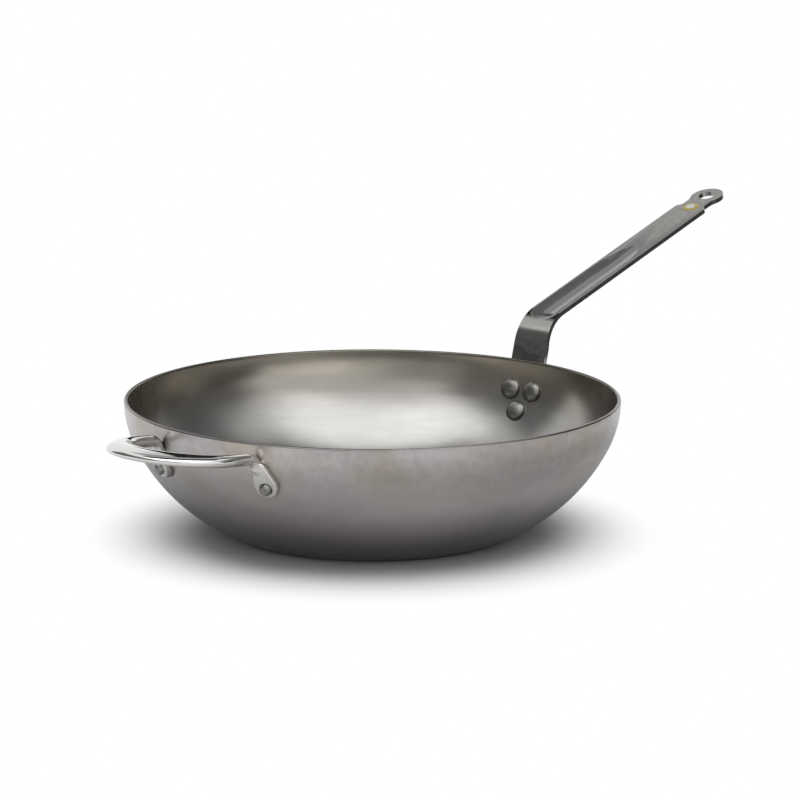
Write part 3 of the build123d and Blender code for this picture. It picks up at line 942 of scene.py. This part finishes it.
def makeLoop(s):
    # cast in one piece, so every joint between leg, foot and grip is softened
    helper = cleanCopy("helper_handle", "loopShape")
    remesh = helper.modifiers.new("skin", "REMESH")
    remesh.mode = "VOXEL"
    remesh.voxel_size = s["voxel"]
    remesh.use_smooth_shade = True
    smooth = helper.modifiers.new("soften", "SMOOTH")
    smooth.iterations = s["passes"]
    smooth.factor = s["softening"]
    mesh = evaluated(helper)
    mesh.materials.append(makeCastSteel(castLook))
    makePiece("castLoop", mesh, "helper_handle")
    print("Loop made:", len(mesh.polygons), "faces")


makeLoop(loop)


# Button in the strap
button = {
    "radius": 6 * mm,
    "depth": 1.2 * mm,
    "proud": 0.7 * mm,
    "edge": 0.35 * mm,          # where the dome starts, above the strap
    "uprightShare": 0.6,        # of that height, up to which the side is upright
    "draw": 0.03,               # how far the dome's foot is drawn in, as a share of the radius
    "slope": 17.4,              # of the strap that it sits in
    "domeSteps": 10,
    "steps": 72,
}


def buttonProfile(s):
    points = [(0, -s["depth"]), (s["radius"], -s["depth"]), (s["radius"], s["edge"] * s["uprightShare"])]
    for i in range(s["domeSteps"] + 1):
        inwards = i / s["domeSteps"]
        outwards = 1 - inwards
        points.append((s["radius"] * outwards * (1 - s["draw"] * outwards),
                       s["edge"] + (s["proud"] - s["edge"]) * (1 - outwards**2)))
    return points


def makeButton(s):
    low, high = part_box("badge_button")
    slope = radians(s["slope"])
    centre = (Vector(low) + Vector(high)) / 2
    normal = Vector((-sin(slope), 0, cos(slope)))
    seat = centre - normal * (s["proud"] - s["depth"]) / 2
    material = makeEnamel(badgeLook, seat)
    profile = profileObject("buttonProfile", buttonProfile(s))
    mesh = runTree(profile, spinTree, Steps=s["steps"], Material=material)
    mesh.transform(Matrix.Translation(seat) @ normal.to_track_quat("Z", "Y").to_matrix().to_4x4())
    outwardNormals(mesh)
    makePiece("yellowButton", mesh, "badge_button")
    print("Button made")


makeButton(button)


# Floor, lamps for the shadow, and the panels and cards that the steel reflects
studio = {
    "floorSize": 12.0,
    "floorDrop": 0.2 * mm,              # below the wok's base
    "floorColour": (0.93, 0.93, 0.93, 1),
    "seenCentre": (-0.009, -0.008, 0),
    "reflectedCentre": (0.046, -0.053, 0),
    "seenFade": (0.105, 0.19),          # distances over which the floor that the camera sees turns white
    "reflectedFade": (0.17, 0.45),      # the same for the floor that the steel reflects
    "roomLight": 0.28,
}

# azimuth from the camera's own side, elevation, distance, power and size in metres
lamps = {
    "overheadLamp": (20, 68, 1.6, 9, (1.4, 1.1)),
    "frontLamp": (0, 28, 2.6, 3.4, (2.4, 1.1)),
}

# azimuth, elevation, distance, width, height, brightness and how much of each half fades to clear
panels = {
    "frontPanel": (-9, 70, 2.0, 4.6, 1.7, 2.5, 0.55),
    "lowPanel": (26, 12, 2.2, 1.4, 0.75, 1.35, 0.5),
    "frontStrip": (0, 1, 1.7, 3.4, 0.2, 0.1, 0.0),
    "greyFrontCard": (-29, 18, 1.6, 1.7, 0.95, 0.5, 0.5),
    "leftCard": (-66, 20, 1.15, 0.8, 1.3, 0.22, 0.2),
    "leftBackCard": (-98, 18, 1.1, 0.75, 1.05, 0.16, 0.0),
    "rightCard": (106, 18, 0.9, 1.7, 1.2, 0.15, 0.6),
    "rightTopCard": (126, 50, 1.0, 0.45, 0.5, 0.2, 0.4),
    "lowRightCard": (96, 8, 0.6, 0.8, 0.3, 0.1, 0.0),
    "topCard": (180, 65, 1.5, 1.5, 1.1, 0.4, 0.15),
    "backCard": (-177, 36.5, 2.0, 0.9, 0.5, 0.69, 0.4),
    "blackCard": (180, 82, 1.3, 1.6, 0.4, 0.02, 0.0),
    "gripFlag": (-172, 38, 0.66, 0.2, 0.6, 0.02, 0.1),
}


def lightPaths(tree):
    # 1 for rays from the camera, and 1 for those by which metal or glass shows what is round it
    path = addNode(tree, "ShaderNodeLightPath").outputs
    return path["Is Camera Ray"], maths(tree, "MAXIMUM", path["Is Glossy Ray"], path["Is Transmission Ray"])


def flatMesh(name, width, height):
    w, h = width / 2, height / 2
    mesh = bpy.data.meshes.new(name)
    mesh.from_pydata([(-w, -h, 0), (w, -h, 0), (w, h, 0), (-w, h, 0)], [], [(0, 1, 2, 3)])
    return mesh


def emptyMaterial(name):
    material = bpy.data.materials.new(name)
    material.use_nodes = True
    material.node_tree.nodes.clear()
    return material, material.node_tree


def glow(tree, brightness):
    node = addNode(tree, "ShaderNodeEmission")
    node.inputs["Color"].default_value = plainWhite
    node.inputs["Strength"].default_value = brightness
    return node.outputs[0]


def clear(tree):
    return addNode(tree, "ShaderNodeBsdfTransparent").outputs[0]


def mixShaders(tree, share, first, second):
    node = addNode(tree, "ShaderNodeMixShader")
    for socket, value in zip(node.inputs, (share, first, second)):
        put(tree, socket, value)
    return node.outputs[0]


def showShader(tree, shader):
    put(tree, addNode(tree, "ShaderNodeOutputMaterial").inputs[0], shader)


def floorWhite(tree, s):
    # 1 away from the wok, for the camera and for reflections, each round its own centre
    place = objectPlace(tree)
    seen, reflected = lightPaths(tree)
    seenWhite = mapRange(tree, distanceFrom(tree, place, s["seenCentre"]), *s["seenFade"])
    reflectedWhite = mapRange(tree, distanceFrom(tree, place, s["reflectedCentre"]), *s["reflectedFade"])
    return maths(tree, "MAXIMUM", product(tree, seen, seenWhite), product(tree, reflected, reflectedWhite))


def makeFloor(s):
    # clear from below, so that the underside of the wok can be seen
    material, tree = emptyMaterial("paleFloor")
    pale = addNode(tree, "ShaderNodeBsdfDiffuse")
    pale.inputs["Color"].default_value = s["floorColour"]
    above = mixShaders(tree, floorWhite(tree, s), pale.outputs[0], glow(tree, 1.0))
    below = addNode(tree, "ShaderNodeNewGeometry").outputs["Backfacing"]
    showShader(tree, mixShaders(tree, below, above, clear(tree)))
    mesh = flatMesh("floor", s["floorSize"], s["floorSize"])
    mesh.materials.append(material)
    floor = addObject("floor", mesh)
    floor.location.z = -s["floorDrop"]


def makeWorld(strength):
    world = bpy.data.worlds.new("whiteRoom")
    scene.world = world
    world.use_nodes = True
    tree = world.node_tree
    background = tree.nodes["Background"]
    background.inputs["Color"].default_value = plainWhite
    white = maths(tree, "MAXIMUM", *lightPaths(tree))
    put(tree, background.inputs["Strength"], mapRange(tree, white, 0, 1, strength, 1, smooth=False))


def placeInStudio(item, azimuth, elevation, distance, front):
    # at 270 degrees less the handle's azimuth an item is on the camera's own side; its front faces the wok
    turn = radians(270 - cameraSettings["handleAzimuth"] + azimuth)
    rise = radians(elevation)
    item.location = Vector((cos(turn) * cos(rise), sin(turn) * cos(rise), sin(rise))) * distance
    item.rotation_euler = (-item.location).to_track_quat(front, "Y").to_euler()


def addLamp(name, azimuth, elevation, distance, power, size):
    # for light and shadow only: reflections see the panels and cards in its place
    data = bpy.data.lights.new(name, "AREA")
    data.shape = "RECTANGLE"
    data.size, data.size_y = size
    data.energy = power
    lamp = addObject(name, data)
    placeInStudio(lamp, azimuth, elevation, distance, "-Z")
    lamp.visible_glossy = False


def panelShader(name, width, height, brightness, fade):
    # plain brightness that turns clear towards the edges
    material, tree = emptyMaterial(name)
    x, y = splitVector(tree, objectPlace(tree))[:2]
    covers = 1.0
    for value, size in ((x, width), (y, height)):
        margin = maths(tree, "SUBTRACT", size / 2, maths(tree, "ABSOLUTE", value))
        covers = product(tree, covers, mapRange(tree, margin, 0, max(fade * size / 2, mm)))
    showShader(tree, mixShaders(tree, covers, clear(tree), glow(tree, brightness)))
    return material


def addPanel(name, azimuth, elevation, distance, width, height, brightness, fade):
    # only reflections see it
    mesh = flatMesh(name, width, height)
    mesh.materials.append(panelShader(name, width, height, brightness, fade))
    panel = addObject(name, mesh)
    placeInStudio(panel, azimuth, elevation, distance, "Z")
    panel.visible_camera = False
    panel.visible_diffuse = False
    panel.visible_shadow = False
    panel.visible_transmission = False


makeFloor(studio)
makeWorld(studio["roomLight"])
for name, values in lamps.items():
    addLamp(name, *values)
for name, values in panels.items():
    addPanel(name, *values)
print("Studio lit")

scene.view_settings.view_transform = "Standard"
